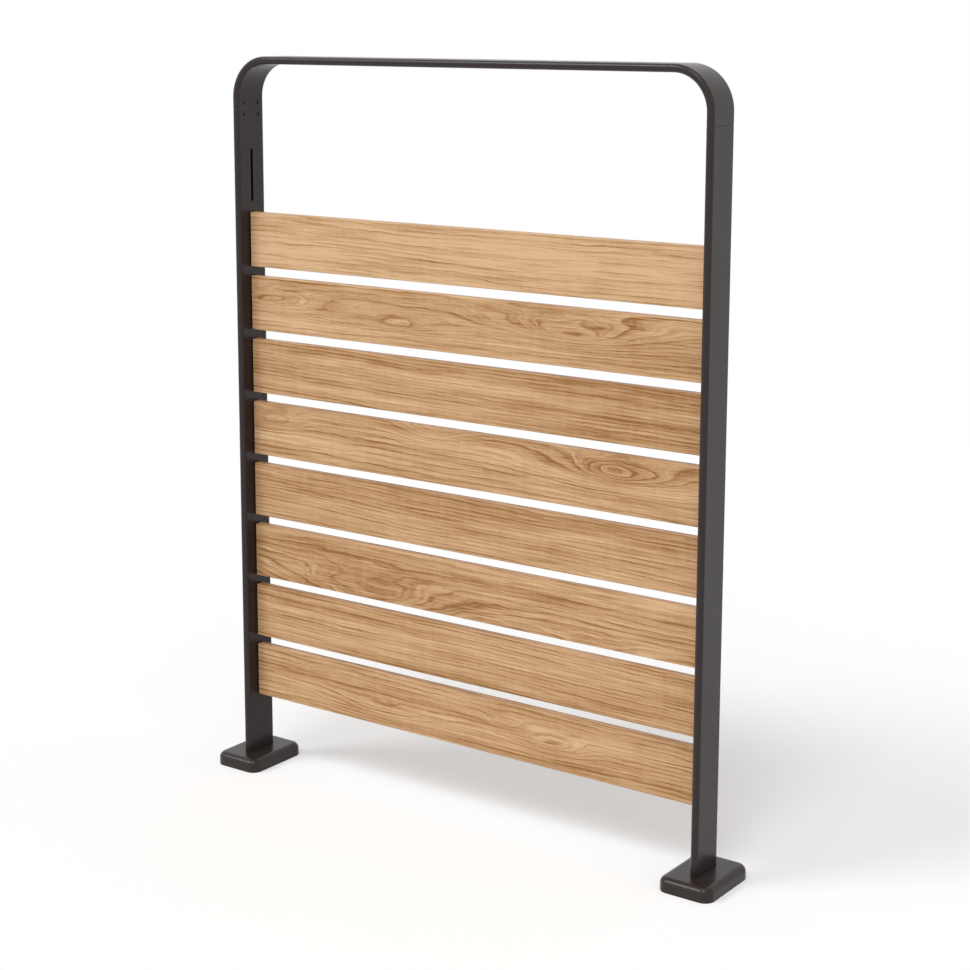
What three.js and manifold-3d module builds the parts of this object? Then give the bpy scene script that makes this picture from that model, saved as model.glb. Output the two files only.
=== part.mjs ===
// Garden privacy screen: eight timber slats held between two posts of flat-oval tube. An arch
// bent from the same tube joins the posts over the top and leaves an open window above the slats.
// Each post stands on a bolted base that a rounded cover hides, and the cover slides up the post.
//
// Millimetres. X runs across the screen, Y runs through it with the front at -Y, Z is up.
// The origin is on the ground, midway between the posts.

import * as THREE from 'three';
import { mergeVertices } from 'three/addons/utils/BufferGeometryUtils.js';
import Module from 'manifold-3d';

// Frame tube, a flat oval with full-round front and rear edges
const screenWidth = 900; // over the outer faces of the posts
const tubeThickness = 12.5;
const tubeDepth = 66;
const tubeWall = 2;
const windowHeight = 245; // top slat to the underside of the arch
const bendRadius = 67.5; // outer face of the arch's corners
const archLegLength = 18.5; // straight run below each bend
const jointGap = 0.3; // fine line between the arch and each post

// Slats, with a tongue at each end that enters a slot in the post
const slatCount = 8;
const slatHeight = 91;
const slatThickness = 16;
const slatGap = 16;
const slatEdgeRadius = 1.5;
const groundClearance = 122.5; // ground to the underside of the lowest slat
const shoulderGap = 1.5; // slat end to the post's inner face
const tongueHeight = 86;
const tongueThickness = 5;
const tongueEndClearance = 4.5; // tongue end to the far wall of the tube
const slotClearance = 0.3; // all round the tongue

// Spigots inside the arch joints and stubs inside the posts' feet
const sleeveClearance = 0.3; // all round, inside the tube
const spigotDrop = 45; // length inside the post
const spigotEndClearance = 0.5; // below the start of the bend
const stubHeight = 60;

// Set screws that hold the tubes on the spigots and stubs
const screwDiameter = 5;
const screwHoleClearance = 0.3;
const screwSink = 0.2; // below the tube's face
const screwTipClearance = 3.3; // screw tip to the far wall of the tube
const screwOffset = 17; // each side of the tube's centre line
const jointScrewDistance = 9.5; // above and below the arch joint
const stubScrewHeight = 6; // above the base plate
const socketAcrossFlats = 2.5;
const socketDepth = 2.5;

// Feet
const footWidth = 90;
const footDepth = 127;
const footHeight = 22;
const footCornerRadius = 17;
const footEdgeRadius = 10.5; // around the cover's top
const coverWall = 2.5;
const coverPostClearance = 0.4;
const plateThickness = 6;
const plateInset = 2.5; // inside the cover's wall
const padThickness = 2;
const anchorHoleDiameter = 9;
const anchorSpacingX = 52;
const anchorSpacingY = 84;

// Facets
const edgeSegments = 6; // in a quarter of a tube's round edge
const bendSegments = 16; // in each of the arch's bends
const cornerSegments = 4;
const bevelSegments = 6;
const screwSides = 24;

// Sizes worked out from the ones above
const slatPitch = slatHeight + slatGap;
const stackTop = groundClearance + slatCount * slatPitch - slatGap;
const screenHeight = stackTop + windowHeight + tubeThickness;
const jointHeight = screenHeight - bendRadius - archLegLength;
const postX = (screenWidth - tubeThickness) / 2;
const baseTop = padThickness + plateThickness;
const postLength = jointHeight - jointGap - baseTop;
const hollowThickness = tubeThickness - 2 * tubeWall;
const hollowDepth = tubeDepth - 2 * tubeWall;
const tongueReach = tubeThickness - tubeWall - tongueEndClearance;
const screwLength = tubeThickness - tubeWall - screwSink - screwTipClearance;
const screwHoleDiameter = screwDiameter + 2 * screwHoleClearance;
const spigotRise = archLegLength - spigotEndClearance;
const spareSlots = Math.max(0, Math.floor((jointHeight - spigotDrop - stackTop) / slatPitch));
const cutOverrun = 5; // how far a cutting body runs past the face it cuts

const wasm = await Module();
wasm.setup();

// ---- Materials ----

function frameFinish() {
  return new THREE.MeshStandardMaterial({ color: 0x3b3533, roughness: 0.38, metalness: 0.25 });
}

function timberFinish() {
  return new THREE.MeshStandardMaterial({ color: 0xb98a5c, roughness: 0.55, metalness: 0 });
}

function millFinish() {
  return new THREE.MeshStandardMaterial({ color: 0xa9abad, roughness: 0.4, metalness: 0.9 });
}

function screwFinish() {
  return new THREE.MeshStandardMaterial({ color: 0x2a2726, roughness: 0.45, metalness: 0.7 });
}

function rubberFinish() {
  return new THREE.MeshStandardMaterial({ color: 0x1d1d1d, roughness: 0.9, metalness: 0 });
}

// ---- Solids ----

function solidOf(geometry) {
  const bare = geometry.clone();
  bare.deleteAttribute('normal');
  bare.deleteAttribute('uv');
  const merged = mergeVertices(bare);
  const mesh = new wasm.Mesh({
    numProp: 3,
    vertProperties: merged.attributes.position.array,
    triVerts: Uint32Array.from(merged.index.array),
  });
  return new wasm.Manifold(mesh);
}

function geometryOf(solid) {
  const mesh = solid.getMesh();
  const geometry = new THREE.BufferGeometry();
  geometry.setAttribute('position', new THREE.BufferAttribute(mesh.vertProperties, 3));
  geometry.setIndex(new THREE.BufferAttribute(mesh.triVerts, 1));
  geometry.computeVertexNormals();
  return geometry;
}

function cut(geometry, tools) {
  let solid = solidOf(geometry);
  for (const tool of tools) {
    solid = solid.subtract(solidOf(tool));
  }
  return geometryOf(solid);
}

function part(name, geometry, material, x = 0, z = 0) {
  const mesh = new THREE.Mesh(geometry, material);
  mesh.name = name;
  mesh.position.set(x, 0, z);
  return mesh;
}

// ---- Outlines and basic bodies ----

// A bar outline with full-round ends, its long side along the first axis.
function flatOval(length, thickness) {
  const radius = thickness / 2;
  const centre = length / 2 - radius;
  const outline = new THREE.Shape();
  outline.absarc(centre, 0, radius, -Math.PI / 2, Math.PI / 2);
  outline.absarc(-centre, 0, radius, Math.PI / 2, 1.5 * Math.PI);
  return outline;
}

function tubeSection() {
  const section = flatOval(tubeDepth, tubeThickness);
  section.holes.push(flatOval(hollowDepth, hollowThickness));
  return section;
}

function roundedRectangle(width, depth, radius) {
  const x = width / 2 - radius;
  const y = depth / 2 - radius;
  const outline = new THREE.Shape();
  outline.absarc(x, -y, radius, -Math.PI / 2, 0);
  outline.absarc(x, y, radius, 0, Math.PI / 2);
  outline.absarc(-x, y, radius, Math.PI / 2, Math.PI);
  outline.absarc(-x, -y, radius, Math.PI, 1.5 * Math.PI);
  return outline;
}

function circle(x, y, diameter) {
  const outline = new THREE.Path();
  outline.absarc(x, y, diameter / 2, 0, 2 * Math.PI);
  return outline;
}

// An upright body of the given outline, standing on z = 0.
function prism(outline, height, curveSegments) {
  return new THREE.ExtrudeGeometry(outline, { depth: height, bevelEnabled: false, curveSegments });
}

// An upright flat-oval body, its long side along Y as in the posts.
function uprightOval(section, height) {
  return prism(section, height, edgeSegments).rotateZ(Math.PI / 2);
}

// A box given by its two ends along X, centred on Y = 0.
function boxBetween(x0, x1, depth, z0, z1) {
  const box = new THREE.BoxGeometry(x1 - x0, depth, z1 - z0);
  return box.translate((x0 + x1) / 2, 0, (z0 + z1) / 2);
}

// A cylinder along X between x0 and x1.
function rodBetween(x0, x1, y, z, diameter, sides = screwSides) {
  const rod = new THREE.CylinderGeometry(diameter / 2, diameter / 2, x1 - x0, sides);
  return rod.rotateZ(Math.PI / 2).translate((x0 + x1) / 2, y, z);
}

// ---- Arch ----

// A curve that is sampled only at its own stations, so each straight run stays one span.
class StationCurve extends THREE.Curve {
  constructor(stations) {
    super();
    this.stations = stations;
  }

  station(u) {
    return this.stations[Math.round(u * (this.stations.length - 1))];
  }

  getPointAt(u) {
    return this.station(u).point.clone();
  }

  getTangentAt(u) {
    return this.station(u).tangent.clone();
  }
}

// The tube's centre line: up the left leg, round both bends and down the right leg.
function archStations() {
  const radius = bendRadius - tubeThickness / 2;
  const bendX = postX - radius;
  const bendZ = screenHeight - bendRadius;
  const legEnd = (side) => ({
    point: new THREE.Vector3(side * postX, 0, jointHeight),
    tangent: new THREE.Vector3(0, 0, -side),
  });
  const stations = [legEnd(-1)];
  for (const side of [-1, 1]) {
    for (let i = 0; i <= bendSegments; i += 1) {
      const turn = (i / bendSegments) * (Math.PI / 2);
      const angle = side < 0 ? Math.PI - turn : Math.PI / 2 - turn;
      const outward = new THREE.Vector3(Math.cos(angle), 0, Math.sin(angle));
      const centre = new THREE.Vector3(side * bendX, 0, bendZ);
      stations.push({
        point: centre.addScaledVector(outward, radius),
        tangent: new THREE.Vector3(Math.sin(angle), 0, -Math.cos(angle)),
      });
    }
  }
  stations.push(legEnd(1));
  return stations;
}

function makeArch() {
  const stations = archStations();
  const tube = new THREE.ExtrudeGeometry(tubeSection(), {
    steps: stations.length - 1,
    extrudePath: new StationCurve(stations),
    curveSegments: edgeSegments,
  });
  const holes = [];
  const openFrom = postX - tubeThickness / 2 - cutOverrun;
  const z = jointHeight + jointScrewDistance;
  for (const y of [-screwOffset, screwOffset]) {
    holes.push(rodBetween(-postX, -openFrom, y, z, screwHoleDiameter));
    holes.push(rodBetween(openFrom, postX, y, z, screwHoleDiameter));
  }
  return part('top_arch', cut(tube, holes), frameFinish());
}

// ---- Slats ----

// The slat's section is drawn in Y and Z and runs along X. One long core makes both tongues.
function makeSlat(index) {
  const span = screenWidth - 2 * tubeThickness;
  const bodyLength = span - 2 * shoulderGap;
  const board = prism(roundedRectangle(slatThickness, slatHeight, slatEdgeRadius), bodyLength, 2);
  const alongX = new THREE.Matrix4().makeBasis(
    new THREE.Vector3(0, 1, 0),
    new THREE.Vector3(0, 0, 1),
    new THREE.Vector3(1, 0, 0),
  );
  board.applyMatrix4(alongX).translate(-bodyLength / 2, 0, 0);
  const core = new THREE.BoxGeometry(span + 2 * tongueReach, tongueThickness, tongueHeight);
  const solid = solidOf(board).add(solidOf(core));
  const centreHeight = groundClearance + slatHeight / 2 + index * slatPitch;
  return part(`slat_${index + 1}`, geometryOf(solid), timberFinish(), 0, centreHeight);
}

// ---- Sides: everything below is drawn for the left side, with the slats towards +X ----

function screwHole(y, z) {
  return rodBetween(0, tubeThickness / 2 + cutOverrun, y, z, screwHoleDiameter);
}

function makePost(name) {
  const slots = [];
  const face = tubeThickness / 2;
  for (let i = 0; i < slatCount + spareSlots; i += 1) {
    const centre = groundClearance + slatHeight / 2 + i * slatPitch - baseTop;
    const half = tongueHeight / 2 + slotClearance;
    const width = tongueThickness + 2 * slotClearance;
    slots.push(boxBetween(0, face + cutOverrun, width, centre - half, centre + half));
  }
  const holes = [];
  const upperZ = jointHeight - jointScrewDistance - baseTop;
  for (const y of [-screwOffset, screwOffset]) {
    holes.push(screwHole(y, upperZ), screwHole(y, stubScrewHeight));
  }
  const tube = uprightOval(tubeSection(), postLength);
  return part(name, cut(tube, [...slots, ...holes]), frameFinish(), 0, baseTop);
}

// A bar that fills the tube's hollow, drilled through for the screws at the given heights.
function innerBar(length, screwHeights) {
  const section = flatOval(hollowDepth - 2 * sleeveClearance, hollowThickness - 2 * sleeveClearance);
  const holes = [];
  for (const z of screwHeights) {
    for (const y of [-screwOffset, screwOffset]) {
      holes.push(rodBetween(-tubeThickness, tubeThickness, y, z, screwHoleDiameter));
    }
  }
  return cut(uprightOval(section, length), holes);
}

function makeSpigot(name) {
  const heights = [spigotDrop - jointScrewDistance, spigotDrop + jointScrewDistance];
  const bar = innerBar(spigotDrop + spigotRise, heights);
  return part(name, bar, millFinish(), 0, jointHeight - spigotDrop);
}

function makeStub(name) {
  return part(name, innerBar(stubHeight, [stubScrewHeight]), millFinish(), 0, baseTop);
}

function makeScrew(name, y, z) {
  const head = tubeThickness / 2 - screwSink;
  const shank = rodBetween(head - screwLength, head, y, z, screwDiameter);
  const acrossCorners = socketAcrossFlats / Math.cos(Math.PI / 6);
  const socket = rodBetween(head - socketDepth, head + 1, y, z, acrossCorners, 6);
  return part(name, cut(shank, [socket]), screwFinish());
}

function drilledPlate(thickness) {
  const inset = coverWall + plateInset;
  const radius = Math.max(1, footCornerRadius - inset);
  const outline = roundedRectangle(footWidth - 2 * inset, footDepth - 2 * inset, radius);
  for (const x of [-anchorSpacingX / 2, anchorSpacingX / 2]) {
    for (const y of [-anchorSpacingY / 2, anchorSpacingY / 2]) {
      outline.holes.push(circle(x, y, anchorHoleDiameter));
    }
  }
  return prism(outline, thickness, bevelSegments);
}

// A block with rounded corners and a rounded top edge. It runs below z = 0 by the overrun.
function roundTopped(width, depth, height, cornerRadius, edgeRadius) {
  const outline = roundedRectangle(
    width - 2 * edgeRadius,
    depth - 2 * edgeRadius,
    Math.max(0.5, cornerRadius - edgeRadius),
  );
  const block = new THREE.ExtrudeGeometry(outline, {
    depth: height - edgeRadius + cutOverrun,
    bevelThickness: edgeRadius,
    bevelSize: edgeRadius,
    bevelSegments,
    curveSegments: cornerSegments,
  });
  return block.translate(0, 0, -cutOverrun);
}

function makeCover(name) {
  const edge = Math.min(footEdgeRadius, footHeight);
  const shell = roundTopped(footWidth, footDepth, footHeight, footCornerRadius, edge);
  const hollow = roundTopped(
    footWidth - 2 * coverWall,
    footDepth - 2 * coverWall,
    footHeight - coverWall,
    footCornerRadius - coverWall,
    Math.max(0.5, edge - coverWall),
  );
  const below = boxBetween(-footWidth, footWidth, 2 * footDepth, -2 * footHeight - cutOverrun, 0);
  const opening = uprightOval(
    flatOval(tubeDepth + 2 * coverPostClearance, tubeThickness + 2 * coverPostClearance),
    footHeight + cutOverrun,
  );
  return part(name, cut(shell, [below, hollow, opening]), frameFinish());
}

function makeSide(side) {
  const group = new THREE.Group();
  group.add(makePost(`${side}_post`));
  group.add(makeSpigot(`${side}_spigot`));
  group.add(makeStub(`${side}_post_stub`));
  const upper = jointHeight + jointScrewDistance;
  const lower = jointHeight - jointScrewDistance;
  const foot = baseTop + stubScrewHeight;
  for (const [place, z] of [['arch', upper], ['post', lower], ['foot', foot]]) {
    group.add(makeScrew(`${side}_${place}_screw_1`, -screwOffset, z));
    group.add(makeScrew(`${side}_${place}_screw_2`, screwOffset, z));
  }
  group.add(part(`${side}_base_pad`, drilledPlate(padThickness), rubberFinish()));
  group.add(part(`${side}_base_plate`, drilledPlate(plateThickness), millFinish(), 0, padThickness));
  group.add(makeCover(`${side}_foot_cover`));
  return group;
}

// ---- Assembly ----

const screen = new THREE.Group();
screen.add(makeArch());
for (let i = 0; i < slatCount; i += 1) {
  screen.add(makeSlat(i));
}

const leftSide = makeSide('left');
leftSide.position.x = -postX;
screen.add(leftSide);

// Both sides are alike front to back, so a half turn makes the right one.
const rightSide = makeSide('right');
rightSide.position.x = postX;
rightSide.rotation.z = Math.PI;
screen.add(rightSide);

export default screen;
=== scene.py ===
"""Garden privacy screen: the finished surfaces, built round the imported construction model.

Metres, +Z up, in the model's own frame: X runs across the screen, the front faces -Y and the
ground is at Z 0. Sizes come from the boxes of the model's nodes and from the values named below.
"""

import math

import bmesh
import bpy
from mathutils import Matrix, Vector


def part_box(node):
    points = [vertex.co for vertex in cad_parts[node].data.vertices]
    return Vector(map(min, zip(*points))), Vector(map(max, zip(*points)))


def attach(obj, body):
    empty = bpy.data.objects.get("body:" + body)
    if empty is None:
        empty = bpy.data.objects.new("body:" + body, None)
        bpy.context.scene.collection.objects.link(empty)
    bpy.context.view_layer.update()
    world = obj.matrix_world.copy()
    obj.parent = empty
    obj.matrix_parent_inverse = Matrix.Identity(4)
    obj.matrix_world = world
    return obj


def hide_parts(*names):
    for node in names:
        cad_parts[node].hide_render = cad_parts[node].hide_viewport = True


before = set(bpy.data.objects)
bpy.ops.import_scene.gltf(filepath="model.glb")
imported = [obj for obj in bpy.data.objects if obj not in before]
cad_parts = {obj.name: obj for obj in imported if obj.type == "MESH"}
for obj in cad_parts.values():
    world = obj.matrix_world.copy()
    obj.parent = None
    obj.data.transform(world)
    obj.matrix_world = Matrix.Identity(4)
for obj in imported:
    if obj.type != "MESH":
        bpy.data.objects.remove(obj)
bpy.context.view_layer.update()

# ---- Sizes that no node's box gives ----

TUBE_WALL = 0.002
BEND_RADIUS = 0.0675  # outer face of the arch's corners
TONGUE_THICKNESS = 0.005
TONGUE_HEIGHT = 0.086
SLOT_CLEARANCE = 0.0003  # all round a tongue
SHOULDER_GAP = 0.0015  # slat end to the post's inner face
SLAT_EDGE_RADIUS = 0.0015
SCREW_HOLE_CLEARANCE = 0.0003  # all round a screw
FOOT_CORNER_RADIUS = 0.017
FOOT_EDGE_RADIUS = 0.0105
COVER_WALL = 0.0025
COVER_POST_CLEARANCE = 0.0004
PLATE_CORNER_RADIUS = 0.012
ANCHOR_HOLE_DIAMETER = 0.009
ANCHOR_SPACING_X = 0.052
ANCHOR_SPACING_Y = 0.084

# Set screws
SOCKET_ACROSS_FLATS = 0.0025
SOCKET_DEPTH = 0.0025
SOCKET_MOUTH_SIZE = 1.12  # of the chamfered mouth, over the socket's
SOCKET_MOUTH_DEPTH = 0.00015
SOCKET_POINT_SIZE = 0.1  # of the drilled point's end, over the socket's
SOCKET_POINT_DEPTH = 1.2  # over the socket's
SCREW_TIP_SIZE = 0.4  # of the flat tip, over the thread's root
THREAD_PITCH = 0.0008
THREAD_DEPTH = 0.0005
THREAD_RUNOUT = 0.0005  # left plain at either end

# Small eased edges
TUBE_END_EASE = 0.0003
SLOT_EASE = 0.00035
TONGUE_EASE = 0.0005
OPENING_EASE = 0.0004
PLATE_EASE = 0.0005

# Facets
TUBE_EDGE_STEPS = 10  # in a quarter of a tube's round edge
BEND_STEPS = 48  # in each of the arch's bends
CORNER_STEPS = 10
SLAT_CORNER_STEPS = 5
EASE_STEPS = 4  # over an eased edge that is lofted
RIM_SEGMENTS = 3  # over the rim of a slot or hole
ROUND_STEPS = 48
THREAD_RINGS = 6  # in one turn of the thread
FLOOR_STEPS = 96

RIM_ANGLE = math.radians(60)  # faces that meet at more than this form a rim
SHARP_ANGLE = math.radians(35)  # and at more than this a sharp edge
LARGE_FACES_ONLY = 100  # weight at which large faces alone set the shading
INNER_FACE_TOLERANCE = 1e-5  # within it a point lies on a tube's inner face
FLAT_FACE_TOLERANCE = 1e-6  # and within this on a plate's flat face
INNER_FACE_MARGIN = 0.004  # between a post's slots and holes and its front and rear edges
POINT_SPACING = 1e-5  # keeps the points of a full-round end apart

# ---- Sizes from the frame ----

SIDES = {"left": -1, "right": 1}
SCREW_NUMBERS = (1, 2)
SLAT_NODES = sorted(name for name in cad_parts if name.startswith("slat_"))

post_low, post_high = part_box("right_post")
arch_low, arch_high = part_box("top_arch")
slat_low, slat_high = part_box(SLAT_NODES[0])
screw_low, screw_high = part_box("right_arch_screw_1")

TUBE_THICKNESS = post_high.x - post_low.x
TUBE_DEPTH = post_high.y - post_low.y
POST_X = (post_high.x + post_low.x) / 2
INNER_FACE_X = post_low.x
SLAT_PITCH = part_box(SLAT_NODES[1])[0].z - slat_low.z
SCREW_DIAMETER = screw_high.z - screw_low.z


# ---- Outlines ----


def quarter_turn(steps):
    """The angles of a quarter turn, with both of its ends."""
    return [math.pi / 2 * step / steps for step in range(steps + 1)]


def flat_oval(length, thickness):
    """A bar outline with full-round ends, its long side along the first axis."""
    radius = thickness / 2
    centre = length / 2 - radius
    points = []
    for end in (1, -1):
        for step in range(2 * TUBE_EDGE_STEPS + 1):
            angle = math.pi * (step / (2 * TUBE_EDGE_STEPS) - 0.5)
            reach = centre + radius * math.cos(angle)
            points.append((end * reach, end * radius * math.sin(angle)))
    return points


def rounded_rectangle(width, depth, radius, steps=CORNER_STEPS):
    """A rectangle with round corners, anticlockwise from its lower right corner."""
    points = []
    corners = [(1, -1), (1, 1), (-1, 1), (-1, -1)]
    for turn, (across, along) in enumerate(corners):
        centre = (across * (width / 2 - radius), along * (depth / 2 - radius))
        for step in range(steps + 1):
            angle = math.pi / 2 * (turn - 1 + step / steps)
            x = centre[0] + radius * math.cos(angle)
            y = centre[1] + radius * math.sin(angle)
            points.append((x, y))
    return points


def circle(diameter, steps=ROUND_STEPS):
    angles = [2 * math.pi * step / steps for step in range(steps)]
    return [(diameter / 2 * math.cos(a), diameter / 2 * math.sin(a)) for a in angles]


def hexagon(across_flats):
    """A hexagon with as many points as the circle that it is joined to."""
    points = []
    for step in range(ROUND_STEPS):
        angle = 2 * math.pi * step / ROUND_STEPS
        from_flat = (angle + math.pi / 6) % (math.pi / 3) - math.pi / 6
        radius = across_flats / 2 / math.cos(from_flat)
        points.append((radius * math.cos(angle), radius * math.sin(angle)))
    return points


def placed(outline, origin, first, second):
    """The outline's points in space: its two axes run along first and second from origin."""
    origin, first, second = Vector(origin), Vector(first), Vector(second)
    return [origin + first * u + second * v for u, v in outline]


def level(outline, x, y, z):
    """The outline laid level, centred on a place."""
    return placed(outline, (x, y, z), (1, 0, 0), (0, 1, 0))


def upright(outline, x, y, z):
    """The outline stood across X, its first axis along Y, centred on a place."""
    return placed(outline, (x, y, z), (0, 1, 0), (0, 0, 1))


# ---- Mesh building ----


def mesh_object(name, vertices, faces):
    mesh = bpy.data.meshes.new(name)
    mesh.from_pydata([tuple(v) for v in vertices], [], faces)
    piece = bpy.data.objects.new(name, mesh)
    bpy.context.scene.collection.objects.link(piece)
    shape = bmesh.new()
    shape.from_mesh(mesh)
    bmesh.ops.recalc_face_normals(shape, faces=shape.faces)
    shape.to_mesh(mesh)
    shape.free()
    return piece


def loft(name, rings, wrap=False):
    """A closed body through rings of equally many points.

    With wrap the last ring joins the first, as in a tube's wall. Otherwise both ends are capped.
    """
    count = len(rings[0])
    vertices = [point for ring in rings for point in ring]
    faces = []
    spans = len(rings) if wrap else len(rings) - 1
    for span in range(spans):
        near = span * count
        far = (span + 1) % len(rings) * count
        for i in range(count):
            j = (i + 1) % count
            faces.append((near + i, near + j, far + j, far + i))
    if not wrap:
        faces.append(tuple(range(count)))
        faces.append(tuple(range(len(vertices) - count, len(vertices))))
    return mesh_object(name, vertices, faces)


def box_between(low, high):
    corners = [(low[0], low[1]), (high[0], low[1]), (high[0], high[1]), (low[0], high[1])]
    return loft("cutter", [level(corners, 0, 0, z) for z in (low[2], high[2])])


def rod_between(x0, x1, y, z, diameter):
    """A round body along X between x0 and x1."""
    return loft("cutter", [upright(circle(diameter), x, y, z) for x in (x0, x1)])


def apply_modifiers(piece):
    graph = bpy.context.evaluated_depsgraph_get()
    finished = bpy.data.meshes.new_from_object(piece.evaluated_get(graph))
    finished.name = piece.name
    piece.modifiers.clear()
    piece.data = finished


def cut(piece, cutters):
    """Takes the cutters' bodies out of the piece."""
    for cutter in cutters:
        modifier = piece.modifiers.new("cut", "BOOLEAN")
        modifier.operation = "DIFFERENCE"
        modifier.solver = "EXACT"
        modifier.object = cutter
    apply_modifiers(piece)
    for cutter in cutters:
        bpy.data.objects.remove(cutter)


def ease_rims(piece, on_face, width):
    """Rounds the sharp rims of holes and slots that lie on the face which on_face picks."""
    shape = bmesh.new()
    shape.from_mesh(piece.data)
    rims = [
        edge
        for edge in shape.edges
        if edge.calc_face_angle(0) > RIM_ANGLE and all(on_face(v.co) for v in edge.verts)
    ]
    bmesh.ops.bevel(
        shape, geom=rims, offset=width, segments=RIM_SEGMENTS, profile=0.5, affect="EDGES"
    )
    shape.to_mesh(piece.data)
    shape.free()


def finish_shading(piece):
    """Smooth shading that keeps flat faces flat and real corners sharp."""
    shape = bmesh.new()
    shape.from_mesh(piece.data)
    for face in shape.faces:
        face.smooth = True
    for edge in shape.edges:
        edge.smooth = edge.calc_face_angle(0) < SHARP_ANGLE
    shape.to_mesh(piece.data)
    shape.free()
    normals = piece.modifiers.new("flat_faces", "WEIGHTED_NORMAL")
    normals.keep_sharp = True
    normals.weight = LARGE_FACES_ONLY


# ---- Node graphs ----

NOISE_RANGE = (0.3, 0.7)  # where most of a noise's values lie


class Graph:
    """Adds nodes to a tree, with their inputs given as values or as other nodes' outputs."""

    def __init__(self, tree):
        self.tree = tree
        tree.nodes.clear()

    def add(self, kind, inputs=None, **settings):
        node = self.tree.nodes.new("ShaderNode" + kind)
        for key, value in settings.items():
            setattr(node, key, value)
        for key, value in (inputs or {}).items():
            if isinstance(value, bpy.types.NodeSocket):
                self.tree.links.new(value, node.inputs[key])
            else:
                node.inputs[key].default_value = value
        return node

    def object_place(self):
        return self.add("TexCoord").outputs["Object"]

    def math(self, operation, *values):
        return self.add("Math", dict(enumerate(values)), operation=operation).outputs[0]

    def vectors(self, operation, first, second):
        """A vector from two others, or a number where the operation is their dot product."""
        node = self.add("VectorMath", {0: first, 1: second}, operation=operation)
        return node.outputs["Value" if operation == "DOT_PRODUCT" else "Vector"]

    def noise(self, vector, scale=1.0, detail=2.0, roughness=0.5, distortion=0.0, output="Fac"):
        inputs = {
            "Vector": vector,
            "Scale": scale,
            "Detail": detail,
            "Roughness": roughness,
            "Distortion": distortion,
        }
        return self.add("TexNoise", inputs).outputs[output]

    def ramp(self, value, stops):
        """A colour ramp through (position, colour) stops."""
        node = self.add("ValToRGB", {"Fac": value})
        band = node.color_ramp
        while len(band.elements) < len(stops):
            band.elements.new(0.5)
        for element, (position, colour) in zip(band.elements, stops):
            element.position = position
            element.color = (*colour, 1)
        return node.outputs["Color"]

    def remap(self, value, low, high, new_low, new_high):
        inputs = {
            "Value": value,
            "From Min": low,
            "From Max": high,
            "To Min": new_low,
            "To Max": new_high,
        }
        return self.add("MapRange", inputs).outputs["Result"]

    def spread(self, noise, low, high):
        """The noise's usual range spread from low to high."""
        return self.remap(noise, *NOISE_RANGE, low, high)

    def mix(self, factor, first, second):
        node = self.add("Mix", data_type="RGBA")
        sockets = {"Factor_Float": factor, "A_Color": first, "B_Color": second}
        for identifier, value in sockets.items():
            socket = next(s for s in node.inputs if s.identifier == identifier)
            if isinstance(value, bpy.types.NodeSocket):
                self.tree.links.new(value, socket)
            else:
                socket.default_value = (*value, 1)
        return next(s for s in node.outputs if s.identifier == "Result_Color")

    def bump(self, height, strength, distance):
        inputs = {"Height": height, "Strength": strength, "Distance": distance}
        return self.add("Bump", inputs).outputs["Normal"]

    def surface(self, inputs):
        """One principled shader as the material's surface."""
        shader = self.add("BsdfPrincipled", inputs)
        self.add("OutputMaterial", {"Surface": shader.outputs[0]})


def new_material(name):
    material = bpy.data.materials.new(name)
    material.use_nodes = True
    return material, Graph(material.node_tree)


# ---- Metal, paint and rubber ----

# Each finish runs from its dark colour to its light one, and between two roughnesses
PAINT_DARK = (0.0235, 0.0152, 0.0147)
PAINT_LIGHT = (0.0300, 0.0205, 0.0198)
PAINT_ROUGHNESS = (0.24, 0.30)
PAINT_SPECULAR = 0.30
PAINT_GRAIN = 0.3  # height of the fine grain over that of the orange peel
ALUMINIUM_DARK = (0.50, 0.51, 0.52)
ALUMINIUM_LIGHT = (0.64, 0.65, 0.66)
ALUMINIUM_ROUGHNESS = (0.28, 0.46)
DIE_LINES = (900.0, 900.0, 14.0)  # how finely they vary along X, Y and Z
STEEL_DARK = (0.030, 0.028, 0.027)
STEEL_LIGHT = (0.075, 0.070, 0.066)
STEEL_ROUGHNESS = (0.34, 0.5)
STEEL_METALLIC = 0.8
RUBBER_DARK = (0.012, 0.012, 0.012)
RUBBER_LIGHT = (0.028, 0.027, 0.026)
RUBBER_ROUGHNESS = (0.75, 0.92)


def frame_paint():
    """Smooth dark powder coat with a faint orange peel."""
    material, g = new_material("frame_paint")
    place = g.object_place()
    patches = g.noise(place, scale=9.0, detail=3.0)
    peel = g.noise(place, scale=700.0, detail=2.0)
    grain = g.noise(place, scale=2600.0, detail=1.0)
    height = g.math("ADD", peel, g.math("MULTIPLY", grain, PAINT_GRAIN))
    g.surface({
        "Base Color": g.mix(patches, PAINT_DARK, PAINT_LIGHT),
        "Roughness": g.spread(patches, *PAINT_ROUGHNESS),
        "Specular IOR Level": PAINT_SPECULAR,
        "Normal": g.bump(height, strength=0.12, distance=0.00006),
    })
    return material


def mill_aluminium():
    """Bare extruded metal with fine die lines."""
    material, g = new_material("mill_aluminium")
    place = g.object_place()
    lines = g.noise(g.vectors("MULTIPLY", place, DIE_LINES), detail=3.0)
    stains = g.noise(place, scale=22.0, detail=3.0)
    g.surface({
        "Base Color": g.mix(stains, ALUMINIUM_DARK, ALUMINIUM_LIGHT),
        "Metallic": 1.0,
        "Roughness": g.spread(lines, *ALUMINIUM_ROUGHNESS),
        "Normal": g.bump(lines, strength=0.2, distance=0.00008),
    })
    return material


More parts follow.
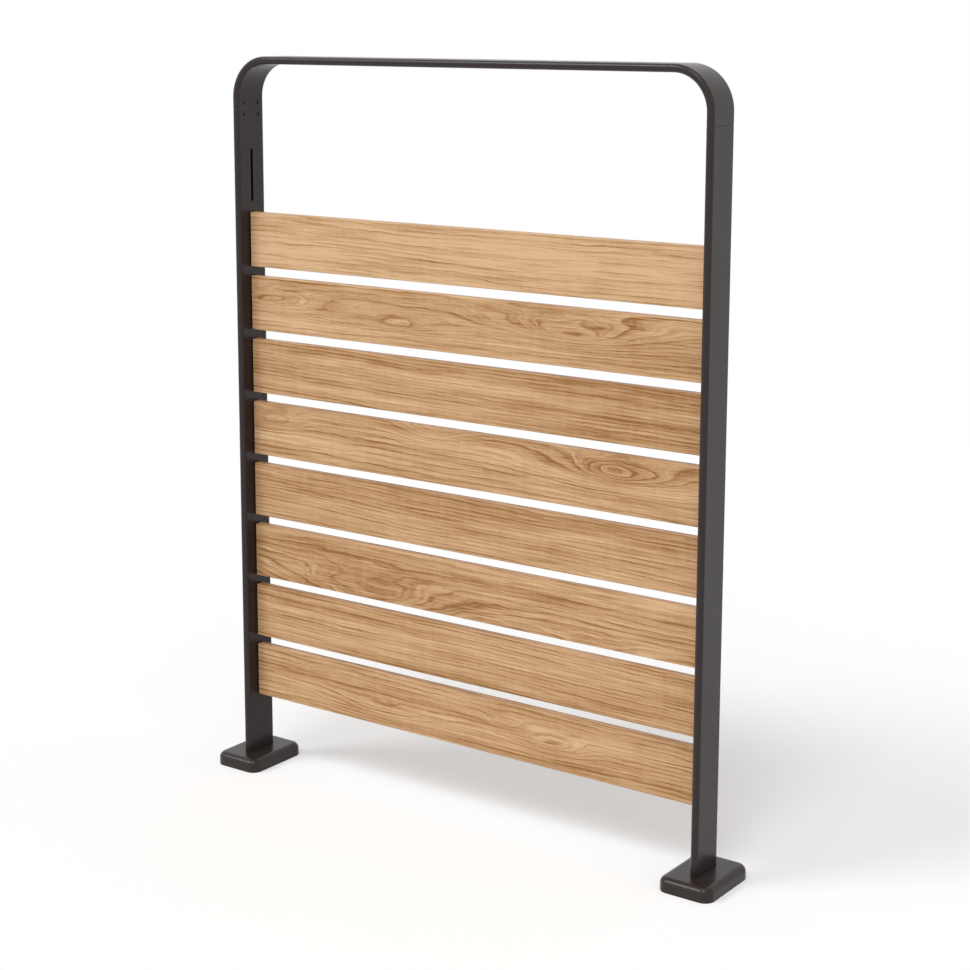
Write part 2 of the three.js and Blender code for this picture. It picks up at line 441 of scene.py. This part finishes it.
def screw_steel():
    """Blackened steel."""
    material, g = new_material("screw_steel")
    bloom = g.noise(g.object_place(), scale=450.0, detail=4.0)
    g.surface({
        "Base Color": g.mix(bloom, STEEL_DARK, STEEL_LIGHT),
        "Metallic": STEEL_METALLIC,
        "Roughness": g.spread(bloom, *STEEL_ROUGHNESS),
        "Normal": g.bump(bloom, strength=0.15, distance=0.00005),
    })
    return material


def pad_rubber():
    """Matt black rubber with a fine grain and dusty patches."""
    material, g = new_material("pad_rubber")
    place = g.object_place()
    dust = g.noise(place, scale=60.0, detail=4.0)
    grain = g.noise(place, scale=2200.0, detail=2.0)
    g.surface({
        "Base Color": g.mix(dust, RUBBER_DARK, RUBBER_LIGHT),
        "Roughness": g.spread(dust, *RUBBER_ROUGHNESS),
        "Normal": g.bump(grain, strength=0.3, distance=0.0001),
    })
    return material


# ---- Timber ----

# The timber's colours by darkness. The palest stop, below 0, serves the top boards' painted
# highlight, and pale grain on any board that falls below 0.
TIMBER_SHADES = [
    (-0.30, (0.750, 0.490, 0.280)),
    (0.0, (0.660, 0.410, 0.218)),
    (0.5, (0.510, 0.290, 0.137)),
    (1.0, (0.310, 0.142, 0.038)),
]
TIMBER_ROUGHNESS = (0.36, 0.52)
TIMBER_SPECULAR = 0.25

# Shade across one growth layer, from pale early wood to the dark line that ends it
LAYER_SHADES = [
    (0.0, 0.0),
    (0.10, 0.06),
    (0.45, 0.20),
    (0.76, 0.55),
    (0.90, 1.0),
    (0.96, 0.45),
    (1.0, 0.0),
]
LINE_WEIGHT = (0.30, 1.0)  # of the faintest and of the strongest line
LINE_FADE = (0.55, 1.3)  # along its way

# Grain in the wood: how finely it varies along X, Y and Z, its detail, roughness and distortion
WOOD_NOISE = {
    "sway": ((2.4, 8.0, 10.0), 1.5, 0.45, 0.0),
    "wave": ((7.0, 25.0, 32.0), 2.0, 0.5, 0.0),
    "tremble": ((26.0, 80.0, 90.0), 2.0, 0.5, 0.0),
    "fade": ((6.0, 20.0, 60.0), 1.0, 0.5, 0.0),
    "streak": ((9.0, 260.0, 380.0), 2.0, 0.6, 0.0),
    "fibre": ((42.0, 700.0, 1150.0), 2.0, 0.6, 0.0),
    "pores": ((120.0, 1300.0, 1900.0), 1.0, 0.5, 0.0),
    "ripple": ((75.0, 30.0, 16.0), 1.0, 0.5, 0.6),
    "broad": ((3.0, 9.0, 16.0), 2.0, 0.5, 0.0),
}
# Grain that follows the layers: how finely it varies across and along them, and its detail
LAYER_NOISE = {"band": (0.40, 1.0, 1.0), "thin": (4.5, 9.0, 2.0)}
PORE_RANGE = (0.58, 0.72)  # noise at which a pore begins and at which it is full

# How many layers the noises move the grain by. Sway and wave grow with a board's wander
SWAY_LAYERS = 7.0
WAVE_LAYERS = 3.2
TREMBLE_LAYERS = 0.55
LAYERS_INTO_BOARD = 0.5  # met on the way into the board, for each one met on the way up

# Eyes: smooth hills among the layers, whose outlines a noise bends
EYE_DEPTH = -0.008  # they are centred on the front face
EYE_REACH = 0.040  # how far they run into the board
EYE_BEND_SCALE = (11.0, 30.0, 40.0)
EYE_BEND = (0.05, 0.0, 0.010)  # along X, Y and Z

# How strongly each kind of grain darkens the board
LINE_REACH = 1.15
PORE_REACH = 0.15
GRAIN_REACH = {
    "band": 1.3,
    "thin": 1.5,
    "streak": 1.6,
    "fibre": 0.8,
    "ripple": 0.25,
    "broad": 1.0,
}
TONE_LIFT = 0.05  # darkens every board alike

# How high lines, streaks and pores stand over the fibres
LINE_RELIEF = -0.6
STREAK_RELIEF = 0.8
PORE_RELIEF = -0.4


def wood_noise(g, wood, kind):
    scale, detail, roughness, distortion = WOOD_NOISE[kind]
    place = g.vectors("MULTIPLY", wood, scale)
    return g.noise(place, detail=detail, roughness=roughness, distortion=distortion)


def layer_noise(g, wood, layers, kind):
    across_scale, along_scale, detail = LAYER_NOISE[kind]
    across = g.math("MULTIPLY", layers, across_scale)
    along = g.math("MULTIPLY", g.add("SeparateXYZ", {0: wood}).outputs["X"], along_scale)
    place = g.add("CombineXYZ", {0: across, 1: along}).outputs[0]
    return g.noise(place, detail=detail)


def growth_layers(g, local, wood, board):
    """How many growth layers lie below each point: a field whose contours are the grain.

    It rises across the board and wanders along it, so that calm grain runs nearly straight. Each
    eye is a smooth hill in it, which closes the contours into rings and flames.
    """
    spacing, wander = board["spacing"], board["wander"]
    rise = (board["slope"] / spacing, LAYERS_INTO_BOARD / spacing, 1 / spacing)
    layers = g.vectors("DOT_PRODUCT", local, rise)
    moves = {"sway": SWAY_LAYERS * wander, "wave": WAVE_LAYERS * wander, "tremble": TREMBLE_LAYERS}
    for kind, reach in moves.items():
        layers = g.math("MULTIPLY_ADD", wood_noise(g, wood, kind), reach, layers)

    bend = g.noise(g.vectors("MULTIPLY", wood, EYE_BEND_SCALE), output="Color")
    bent = g.vectors("ADD", local, g.vectors("MULTIPLY", bend, EYE_BEND))
    for along, up, half_length, half_height, rings in board["eyes"]:
        # The bend's own mean is put back
        centre = (along + EYE_BEND[0] / 2, EYE_DEPTH, up + EYE_BEND[2] / 2)
        arm = g.vectors("SUBTRACT", bent, centre)
        arm = g.vectors("MULTIPLY", arm, (1 / half_length, 1 / EYE_REACH, 1 / half_height))
        distance = g.vectors("DOT_PRODUCT", arm, arm)
        hill = g.math("EXPONENT", g.math("MULTIPLY", distance, -1.0))
        layers = g.math("MULTIPLY_ADD", hill, rings, layers)
    return layers


def growth_lines(g, wood, layers):
    """The dark line that ends each layer, with a weight of its own and fading along its way."""
    profile = [(share, (shade, shade, shade)) for share, shade in LAYER_SHADES]
    line = g.ramp(g.math("FRACT", layers), profile)
    year = g.add("CombineXYZ", {0: g.math("FLOOR", layers)}).outputs[0]
    chance = g.add("TexWhiteNoise", {"Vector": year}, noise_dimensions="3D").outputs["Value"]
    weight = g.remap(chance, 0.0, 1.0, *LINE_WEIGHT)
    fade = g.spread(wood_noise(g, wood, "fade"), *LINE_FADE)
    return g.math("MULTIPLY", line, g.math("MULTIPLY", weight, fade))


def timber(name, middle, board):
    """Planed and oiled board whose middle height is given."""
    material, g = new_material(name)
    local = g.vectors("SUBTRACT", g.object_place(), (0, 0, middle))
    wood = g.vectors("ADD", local, board["offset"])
    layers = growth_layers(g, local, wood, board)
    line = growth_lines(g, wood, layers)
    pores = g.remap(wood_noise(g, wood, "pores"), *PORE_RANGE, 0.0, 1.0)
    grain = {kind: layer_noise(g, wood, layers, kind) for kind in LAYER_NOISE}
    for kind in ("streak", "fibre", "ripple", "broad"):
        grain[kind] = wood_noise(g, wood, kind)

    # The board's tone starts its darkness; on the top two boards it is painted highlight.
    darkness = g.math("MULTIPLY_ADD", line, LINE_REACH, board["tone_and_glare"] + TONE_LIFT)
    for kind, reach in GRAIN_REACH.items():
        less_mean = g.math("SUBTRACT", darkness, reach / 2)
        darkness = g.math("MULTIPLY_ADD", grain[kind], reach, less_mean)
    darkness = g.math("MULTIPLY_ADD", pores, PORE_REACH, darkness)
    palest, darkest = TIMBER_SHADES[0][0], TIMBER_SHADES[-1][0]
    stops = [((shade - palest) / (darkest - palest), colour) for shade, colour in TIMBER_SHADES]

    relief = grain["fibre"]
    heights = ((line, LINE_RELIEF), (grain["streak"], STREAK_RELIEF), (pores, PORE_RELIEF))
    for height, share in heights:
        relief = g.math("MULTIPLY_ADD", height, share, relief)
    g.surface({
        "Base Color": g.ramp(g.remap(darkness, palest, darkest, 0.0, 1.0), stops),
        "Roughness": g.spread(grain["streak"], *TIMBER_ROUGHNESS),
        "Specular IOR Level": TIMBER_SPECULAR,
        "Normal": g.bump(relief, strength=0.5, distance=0.0003),
    })
    return material


def board(offset, spacing, wander, slope, tone_and_glare, eyes=()):
    """One board's grain: its place in the wood, its layers' spacing, wander and slope, its tone.
    On the top two boards the tone is lowered as painted highlight, standing in for the lamps'
    glare on them.

    An eye is its place along and up from the board's middle, its half length and half height, and
    how many rings it closes.
    """
    return {
        "offset": offset,
        "spacing": spacing,
        "wander": wander,
        "slope": slope,
        "tone_and_glare": tone_and_glare,
        "eyes": eyes,
    }


# From the lowest slat to the top one. The top two boards are paler as painted highlight, standing
# in for the lamps' glare on them.
BOARDS = [
    board((0.31, 0.11, 0.47), 0.0075, 0.50, 0.004, 0.10, [
        (0.172, -0.004, 0.052, 0.015, 4.6),
        (0.085, 0.010, 0.034, 0.011, 2.4),
        (-0.150, -0.020, 0.110, 0.016, 2.4),
    ]),
    board((1.73, 0.52, 1.29), 0.0058, 0.34, 0.010, 0.12),
    board((3.15, 0.93, 2.11), 0.0092, 0.34, 0.006, 0.14, [
        (-0.190, -0.046, 0.190, 0.040, 6.4),
        (0.240, -0.050, 0.110, 0.020, 2.4),
    ]),
    board((4.57, 1.34, 2.93), 0.0062, 0.32, 0.018, 0.12),
    board((5.99, 1.75, 3.75), 0.0095, 0.30, 0.020, 0.06, [
        (-0.388, 0.019, 0.050, 0.015, 3.8),
        (-0.053, 0.045, 0.062, 0.022, 3.8),
        (0.292, 0.013, 0.135, 0.024, 4.4),
        (0.285, 0.018, 0.040, 0.012, 1.6),
    ]),
    board((7.41, 2.16, 4.57), 0.0060, 0.34, 0.022, 0.18),
    # Painted highlight: this board's tone is set low so that it is paler, standing in for the
    # lamps' glare on it.
    board((8.83, 2.57, 5.39), 0.0095, 0.26, 0.000, 0.00, [
        (-0.410, 0.006, 0.115, 0.017, 3.6),
        (-0.165, -0.008, 0.150, 0.017, 3.4),
        (-0.123, -0.011, 0.030, 0.006, 1.2),
        (0.205, 0.008, 0.170, 0.026, 4.6),
        (0.200, 0.001, 0.050, 0.011, 1.8),
    ]),
    # Painted highlight: the top board's tone of -0.30 makes it the palest, standing in for the
    # lamps' glare on it.
    board((9.25, 2.98, 6.21), 0.0075, 0.42, 0.010, -0.30, [
        (-0.150, 0.045, 0.090, 0.006, 1.4),
    ]),
]


# ---- Tubes ----


def tube(name, stations):
    """A flat-oval tube through stations of (origin, direction across its flat faces).

    Its long side lies along Y. Both ends have a small eased rim.
    """
    outer = flat_oval(TUBE_DEPTH, TUBE_THICKNESS)
    rim = flat_oval(TUBE_DEPTH - 2 * TUBE_END_EASE, TUBE_THICKNESS - 2 * TUBE_END_EASE)
    hollow = flat_oval(TUBE_DEPTH - 2 * TUBE_WALL, TUBE_THICKNESS - 2 * TUBE_WALL)
    last = len(stations) - 1
    outside = [
        placed(rim if i in (0, last) else outer, origin, (0, 1, 0), across)
        for i, (origin, across) in enumerate(stations)
    ]
    inside = [placed(hollow, origin, (0, 1, 0), across) for origin, across in stations]
    return loft(name, outside + inside[::-1], wrap=True)


def inward_span(side):
    """X from the middle of a side's tube to past its inner face, the lower value first."""
    return sorted((SIDES[side] * POST_X, SIDES[side] * (POST_X - TUBE_THICKNESS)))


def screw_cutters(side, places):
    """Round cutters on the axes of the named screws, through the tube's inner wall only."""
    diameter = SCREW_DIAMETER + 2 * SCREW_HOLE_CLEARANCE
    cutters = []
    for place in places:
        for number in SCREW_NUMBERS:
            low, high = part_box(f"{side}_{place}_screw_{number}")
            middle = (low + high) / 2
            cutters.append(rod_between(*inward_span(side), middle.y, middle.z, diameter))
    return cutters


def on_inner_face(point):
    """True for a point on the face of a post or arch leg that looks at the slats."""
    on_face = abs(abs(point.x) - INNER_FACE_X) < INNER_FACE_TOLERANCE
    return on_face and abs(point.y) < TUBE_DEPTH / 2 - INNER_FACE_MARGIN


def arch_stations():
    """Up the left leg, round both bends and down the right leg."""
    radius = BEND_RADIUS - TUBE_THICKNESS / 2
    bend_x = POST_X - radius
    bend_z = arch_high.z - BEND_RADIUS
    stations = []
    for side in (-1, 1):
        run = [
            ((side * POST_X, 0, arch_low.z), (side, 0, 0)),
            ((side * POST_X, 0, arch_low.z + TUBE_END_EASE), (side, 0, 0)),
        ]
        for angle in quarter_turn(BEND_STEPS):
            outward = (side * math.cos(angle), 0, math.sin(angle))
            origin = (side * bend_x + radius * outward[0], 0, bend_z + radius * outward[2])
            run.append((origin, outward))
        stations += run if side < 0 else run[::-1]
    return stations


def make_arch():
    arch = tube("arch_tube", arch_stations())
    cut(arch, [cutter for side in SIDES for cutter in screw_cutters(side, ["arch"])])
    ease_rims(arch, on_inner_face, SLOT_EASE)
    finish_shading(arch)
    return arch


def slot_heights():
    """Middle heights of the slots: one for each slat, and the spare one above them."""
    first = (slat_low.z + slat_high.z) / 2
    return [first + i * SLAT_PITCH for i in range(len(SLAT_NODES) + 1)]


def make_post(side):
    low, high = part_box(f"{side}_post")
    x = (low.x + high.x) / 2
    heights = (low.z, low.z + TUBE_END_EASE, high.z - TUBE_END_EASE, high.z)
    post = tube(f"{side}_post_tube", [((x, 0, z), (1, 0, 0)) for z in heights])
    width = TONGUE_THICKNESS + 2 * SLOT_CLEARANCE
    half = TONGUE_HEIGHT / 2 + SLOT_CLEARANCE
    cutters = screw_cutters(side, ["post", "foot"])
    x0, x1 = inward_span(side)
    for z in slot_heights():
        cutters.append(box_between((x0, -width / 2, z - half), (x1, width / 2, z + half)))
    cut(post, cutters)
    ease_rims(post, on_inner_face, SLOT_EASE)
    finish_shading(post)
    return post


# ---- Slats ----


def board_ring(x, z, height, thickness, radius):
    outline = rounded_rectangle(thickness, height, radius, SLAT_CORNER_STEPS)
    return upright(outline, x, 0, z)


def make_slat(name, node):
    """A board with eased edges and a tongue at each end."""
    low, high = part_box(node)
    z = (low.z + high.z) / 2
    height = high.z - low.z
    thickness = high.y - low.y
    shoulder = INNER_FACE_X - SHOULDER_GAP
    ease = SLAT_EDGE_RADIUS
    tip_height = TONGUE_HEIGHT - 2 * TONGUE_EASE
    tip_thickness = TONGUE_THICKNESS - 2 * TONGUE_EASE
    end = [
        (high.x, tip_height, tip_thickness, TONGUE_EASE),
        (high.x - TONGUE_EASE, TONGUE_HEIGHT, TONGUE_THICKNESS, TONGUE_EASE),
        (shoulder, TONGUE_HEIGHT, TONGUE_THICKNESS, TONGUE_EASE),
    ]
    for turn in quarter_turn(EASE_STEPS):
        inset = ease * (1 - math.sin(turn))
        x = shoulder - ease * (1 - math.cos(turn))
        end.append((x, height - 2 * inset, thickness - 2 * inset, ease))
    rings = [board_ring(-x, z, h, t, r) for x, h, t, r in end]
    rings += [board_ring(x, z, h, t, r) for x, h, t, r in end[::-1]]
    slat = loft(name, rings)
    finish_shading(slat)
    return slat


# ---- Feet ----


def make_cover(side):
    """A moulded shell: round corners, a rounded top edge and an opening round the post."""
    low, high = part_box(f"{side}_foot_cover")
    x = (low.x + high.x) / 2
    width, depth, top = high.x - low.x, high.y - low.y, high.z

    def shell_rings(inset):
        """Up the wall and over the rounded edge, for the outer or the inner surface."""
        w, d = width - 2 * inset, depth - 2 * inset
        corner, edge = FOOT_CORNER_RADIUS - inset, FOOT_EDGE_RADIUS - inset
        rings = [level(rounded_rectangle(w, d, corner), x, 0, low.z)]
        for turn in quarter_turn(CORNER_STEPS):
            shrink = edge * (1 - math.cos(turn))
            z = top - inset - edge + edge * math.sin(turn)
            outline = rounded_rectangle(w - 2 * shrink, d - 2 * shrink, corner - shrink)
            rings.append(level(outline, x, 0, z))
        return rings

    def opening_ring(grow, z):
        w = TUBE_THICKNESS + 2 * (COVER_POST_CLEARANCE + grow)
        d = TUBE_DEPTH + 2 * (COVER_POST_CLEARANCE + grow)
        return level(rounded_rectangle(w, d, w / 2 - POINT_SPACING), x, 0, z)

    opening = []
    for turn in quarter_turn(EASE_STEPS):
        grow = OPENING_EASE * (1 - math.sin(turn))
        opening.append(opening_ring(grow, top - OPENING_EASE * (1 - math.cos(turn))))
    opening.append(opening_ring(0, top - COVER_WALL))
    rings = shell_rings(0) + opening + shell_rings(COVER_WALL)[::-1]
    cover = loft(f"{side}_cover_shell", rings, wrap=True)
    finish_shading(cover)
    return cover


def make_drilled_plate(name, node):
    """A base plate or pad with four anchor holes."""
    low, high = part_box(node)
    middle = (low + high) / 2
    width, depth = high.x - low.x, high.y - low.y
    ease = min(PLATE_EASE, (high.z - low.z) / 4)
    steps = [(low.z, ease), (low.z + ease, 0), (high.z - ease, 0), (high.z, ease)]
    rings = []
    for z, inset in steps:
        corner = PLATE_CORNER_RADIUS - inset
        outline = rounded_rectangle(width - 2 * inset, depth - 2 * inset, corner)
        rings.append(level(outline, middle.x, 0, z))
    plate = loft(name, rings)
    cutters = []
    for across in (-1, 1):
        for along in (-1, 1):
            x = middle.x + across * ANCHOR_SPACING_X / 2
            y = along * ANCHOR_SPACING_Y / 2
            ends = (low.z - ease, high.z + ease)
            hole = [level(circle(ANCHOR_HOLE_DIAMETER), x, y, z) for z in ends]
            cutters.append(loft("cutter", hole))
    cut(plate, cutters)

    def on_flat_face(point):
        flat = any(abs(point.z - z) < FLAT_FACE_TOLERANCE for z in (low.z, high.z))
        margin = PLATE_CORNER_RADIUS / 2
        within_x = abs(point.x - middle.x) < width / 2 - margin
        return flat and within_x and abs(point.y) < depth / 2 - margin

    ease_rims(plate, on_flat_face, ease / 2)
    finish_shading(plate)
    return plate


# ---- Screws ----


def make_screw(name, node, facing):
    """A socket set screw along X, its socket towards facing."""
    low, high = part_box(node)
    middle = (low + high) / 2
    head = high.x if facing > 0 else low.x
    length = high.x - low.x
    radius = SCREW_DIAMETER / 2

    def ring(outline, back):
        return upright(outline, head - facing * back, middle.y, middle.z)

    def threaded(back):
        points = []
        for step in range(ROUND_STEPS):
            angle = 2 * math.pi * step / ROUND_STEPS
            phase = (back / THREAD_PITCH + step / ROUND_STEPS) % 1
            reach = radius - THREAD_DEPTH * (1 - abs(2 * phase - 1))
            points.append((reach * math.cos(angle), reach * math.sin(angle)))
        return points

    root = 2 * (radius - THREAD_DEPTH)
    rings = [ring(circle(SCREW_TIP_SIZE * root), length), ring(circle(root), length)]
    first, last = THREAD_RUNOUT, length - THREAD_RUNOUT
    count = round((last - first) / THREAD_PITCH * THREAD_RINGS)
    for step in range(count + 1):
        back = last + (first - last) * step / count
        rings.append(ring(threaded(back), back))
    rings.append(ring(circle(root), 0))
    socket = [
        (SOCKET_MOUTH_SIZE, 0),
        (1, SOCKET_MOUTH_DEPTH),
        (1, SOCKET_DEPTH),
        (SOCKET_POINT_SIZE, SOCKET_DEPTH * SOCKET_POINT_DEPTH),
    ]
    for size, depth in socket:
        rings.append(ring(hexagon(SOCKET_ACROSS_FLATS * size), depth))
    screw = loft(name, rings)
    finish_shading(screw)
    return screw


# ---- Putting the screen together ----


def dress(piece, node, body, material):
    """Gives a piece its material and body, and has it stand for its node."""
    piece.data.materials.clear()
    piece.data.materials.append(material)
    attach(piece, body)
    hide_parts(node)


def dress_hidden(node, material):
    """A hidden node keeps its own shape and takes a finish."""
    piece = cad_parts[node]
    for slot in piece.material_slots:
        slot.material = material


def make_side(side, finishes):
    paint, metal, steel, rubber = finishes
    dress(make_post(side), f"{side}_post", "frame", paint)
    dress(make_cover(side), f"{side}_foot_cover", f"{side}_cover", paint)
    plate = make_drilled_plate(f"{side}_plate", f"{side}_base_plate")
    dress(plate, f"{side}_base_plate", "frame", metal)
    pad = make_drilled_plate(f"{side}_pad", f"{side}_base_pad")
    dress(pad, f"{side}_base_pad", "frame", rubber)
    for place in ("arch", "post", "foot"):
        for number in SCREW_NUMBERS:
            node = f"{side}_{place}_screw_{number}"
            screw = make_screw(f"{side}_{place}_set_screw_{number}", node, -SIDES[side])
            dress(screw, node, "frame", steel)
    for node in (f"{side}_spigot", f"{side}_post_stub"):
        dress_hidden(node, metal)


def make_screen():
    paint = frame_paint()
    finishes = (paint, mill_aluminium(), screw_steel(), pad_rubber())
    dress(make_arch(), "top_arch", "frame", paint)
    for number, (node, grain) in enumerate(zip(SLAT_NODES, BOARDS), 1):
        low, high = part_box(node)
        wood = timber(f"timber_{number}", (low.z + high.z) / 2, grain)
        dress(make_slat(f"board_{number}", node), node, "frame", wood)
    for side in SIDES:
        make_side(side, finishes)


# ---- Studio ----

WHITE = (1, 1, 1, 1)

FLOOR_RADIUS = 3.4
FLOOR_COLOUR = (0.76, 0.76, 0.76, 1)
FLOOR_FILL = 0.31  # brings the lit floor up to white where it is seen

# Soft surroundings, where 1 is white: brighter in front than behind
SKY_MEAN = 0.52
SKY_SWING = 0.22
SKY_TOWARDS = (0.50, -0.86, 0.0)

# Lamps as azimuth from the front, elevation, angle across and strength
LAMPS = {
    "overhead": (14, 56, 20, 0.75),
    "left": (-42, 42, 22, 0.95),
}


def background_seen(g):
    """1 for rays from the camera, from gloss and through glass, which find a white background."""
    path = g.add("LightPath")
    seen = g.math("MAXIMUM", path.outputs["Is Camera Ray"], path.outputs["Is Glossy Ray"])
    return g.math("MAXIMUM", seen, path.outputs["Is Transmission Ray"])


def make_floor():
    """A round pale floor. What the camera and reflections see of it is white, with its shadows."""
    outline = circle(2 * FLOOR_RADIUS, FLOOR_STEPS)
    floor = mesh_object("floor", level(outline, 0, 0, 0), [tuple(range(FLOOR_STEPS))])
    material, g = new_material("floor_white")
    matt = g.add("BsdfDiffuse", {"Color": FLOOR_COLOUR})
    fill = g.add("Emission", {"Strength": g.math("MULTIPLY", background_seen(g), FLOOR_FILL)})
    both = g.add("AddShader", {0: matt.outputs[0], 1: fill.outputs[0]})
    g.add("OutputMaterial", {"Surface": both.outputs[0]})
    floor.data.materials.append(material)


def make_sky():
    """Soft light, brighter in front than behind. The camera and reflections see it as white."""
    world = bpy.data.worlds.new("studio")
    world.use_nodes = True
    bpy.context.scene.world = world
    g = Graph(world.node_tree)
    direction = g.add("TexCoord").outputs["Generated"]
    facing = g.vectors("DOT_PRODUCT", direction, Vector(SKY_TOWARDS).normalized())
    strength = g.math("MULTIPLY_ADD", facing, SKY_SWING, SKY_MEAN)
    light = g.add("Background", {"Color": WHITE, "Strength": strength})
    white = g.add("Background", {"Color": WHITE, "Strength": 1.0})
    both = g.add("MixShader", {0: background_seen(g), 1: light.outputs[0], 2: white.outputs[0]})
    g.add("OutputWorld", {"Surface": both.outputs[0]})


def make_lamps():
    """Two broad lamps: one high in front, and a stronger one from the front left."""
    for name, (azimuth, elevation, angle, strength) in LAMPS.items():
        data = bpy.data.lights.new(name, "SUN")
        data.energy = strength
        data.angle = math.radians(angle)
        lamp = bpy.data.objects.new(name, data)
        lamp.rotation_euler = (math.radians(90 - elevation), 0, math.radians(azimuth))
        bpy.context.scene.collection.objects.link(lamp)


# ---- Camera ----

SENSOR_WIDTH = 36.0
IMAGE_SIZE = 970
FOCAL_PIXELS = 2036.3
PRINCIPAL_ROW = 378  # image row of the optical axis
PRINCIPAL_SHIFT_X = 0.02959
CAMERA_PLACE = (1.84198, -2.54706, 1.29213)
CAMERA_YAW = 0.630207
CAMERA_PITCH = 0.178178  # downwards


def make_camera():
    data = bpy.data.cameras.new("camera")
    data.sensor_width = SENSOR_WIDTH
    data.lens = FOCAL_PIXELS * SENSOR_WIDTH / IMAGE_SIZE
    data.shift_x = PRINCIPAL_SHIFT_X
    data.shift_y = (PRINCIPAL_ROW - IMAGE_SIZE / 2) / IMAGE_SIZE
    camera = bpy.data.objects.new("camera", data)
    camera.location = CAMERA_PLACE
    camera.rotation_euler = (math.pi / 2 - CAMERA_PITCH, 0, CAMERA_YAW)
    bpy.context.scene.collection.objects.link(camera)
    bpy.context.scene.camera = camera


make_camera()
make_screen()
make_floor()
make_sky()
make_lamps()
bpy.context.scene.view_settings.view_transform = "Standard"
